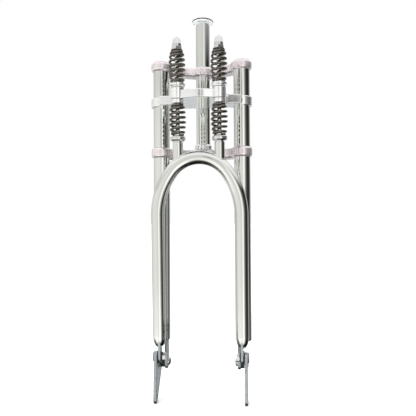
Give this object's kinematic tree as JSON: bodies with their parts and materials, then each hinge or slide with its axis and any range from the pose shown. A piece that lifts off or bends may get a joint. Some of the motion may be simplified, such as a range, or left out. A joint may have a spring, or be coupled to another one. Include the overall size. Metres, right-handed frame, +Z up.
{
  "type": "suspension fork",
  "caption": "Springer suspension fork for a bicycle: rigid rear legs, leaning front hoop on rockers, barrel springs above and below a perch, and a threadless steerer.",
  "frame": {"origin": "steerer axis at the top face of the lower crown, where the crown race sits", "axes": "+Z up the steerer, -Y towards the front of the bicycle, +X to the rider's left"},
  "size_m": [0.199, 0.1459, 0.7495],
  "materials": {
    "chrome": "mirror polished chrome plate",
    "polished_alloy": "polished cast aluminium alloy",
    "bright_alloy": "mirror polished aluminium alloy",
    "chrome_fasteners": "bright chrome plate",
    "black_spring_steel": "glossy black coated spring wire",
    "zinc_plate": "zinc plated sheet steel with a faint grain",
    "black_nylon": "satin black nylon",
    "cap_plastic": "moulded black plastic",
    "white_nylon": "natural white nylon",
    "bronze": "sintered bronze"
  },
  "bodies": {
    "chassis": {"steerer_tube": "chrome", "crown_race": "bright_alloy", "lower_crown": "polished_alloy", "upper_crown": "polished_alloy", "spring_perch": "bright_alloy", "set_screws": "polished_alloy", "rear_leg_left": "chrome", "rear_leg_right": "chrome", "leg_plugs": "black_nylon", "rear_dropout_left": "zinc_plate", "rear_dropout_right": "zinc_plate", "rear_pivot_bolts": "chrome_fasteners", "rear_pivot_nuts": "chrome_fasteners", "rear_spacer_left": "black_nylon", "rear_spacer_right": "black_nylon"},
    "cap": {"top_cap": "cap_plastic", "cap_seal": "white_nylon"},
    "swivel": {"swivel_bush_left": "bronze", "swivel_bush_right": "bronze", "upper_cup_left": "bright_alloy", "upper_cup_right": "bright_alloy", "lower_cup_left": "bright_alloy", "lower_cup_right": "bright_alloy", "upper_spring_left": "black_spring_steel", "upper_spring_right": "black_spring_steel", "lower_spring_left": "black_spring_steel", "lower_spring_right": "black_spring_steel"},
    "spring_fork": {"hoop": "chrome", "hoop_tab_left": "zinc_plate", "hoop_tab_right": "zinc_plate", "post_left": "chrome", "post_right": "chrome", "spring_rod_left": "chrome", "spring_rod_right": "chrome", "spring_seat_left": "chrome_fasteners", "spring_seat_right": "chrome_fasteners", "top_retainers": "black_spring_steel", "jam_nuts": "chrome_fasteners", "acorn_nuts": "chrome_fasteners"},
    "rocker_arm_left": {"rocker_left": "zinc_plate", "rocker_bush_left": "bronze", "front_pivot_bolt_left": "zinc_plate", "front_nut_left": "chrome_fasteners", "front_washer_left": "black_nylon", "inner_washer_left": "black_nylon"},
    "rocker_arm_right": {"rocker_right": "zinc_plate", "rocker_bush_right": "bronze", "front_pivot_bolt_right": "zinc_plate", "front_nut_right": "chrome_fasteners", "front_washer_right": "black_nylon", "inner_washer_right": "black_nylon"}
  },
  "joints": [
    {"name": "cap_lift", "type": "slide", "parent": "chassis", "child": "cap", "axis": [0, 0, 1], "range_m": [0, 0.12]},
    {"name": "perch_swivel", "type": "hinge", "parent": "chassis", "child": "swivel", "pos_m": [0, -0.10504, 0.09], "axis": [1, 0, 0], "range_deg": [0, 1.14]},
    {"name": "spring_travel", "type": "slide", "parent": "swivel", "child": "spring_fork", "axis": [0, -0.0513, 0.9987], "range_m": [0, 0.012], "stiffness_N_per_m": 15000, "springref_m": -0.003, "deforming": ["lower_spring_left", "lower_spring_right", "upper_spring_left", "upper_spring_right"]},
    {"name": "rocker_pivot_left", "type": "hinge", "parent": "chassis", "child": "rocker_arm_left", "pos_m": [0.084, -0.04, -0.418], "axis": [-1, 0, 0], "range_deg": [0, 19.6]},
    {"name": "rocker_pivot_right", "type": "hinge", "parent": "chassis", "child": "rocker_arm_right", "pos_m": [-0.084, -0.04, -0.418], "axis": [-1, 0, 0], "range_deg": [0, 19.6]}
  ],
  "couplings": [
    {"joint": "perch_swivel", "follows": "spring_travel", "rad_per_m": 1.6468},
    {"joint": "rocker_pivot_left", "follows": "spring_travel", "rad_per_m": 28.471},
    {"joint": "rocker_pivot_right", "follows": "spring_travel", "rad_per_m": 28.471}
  ]
}
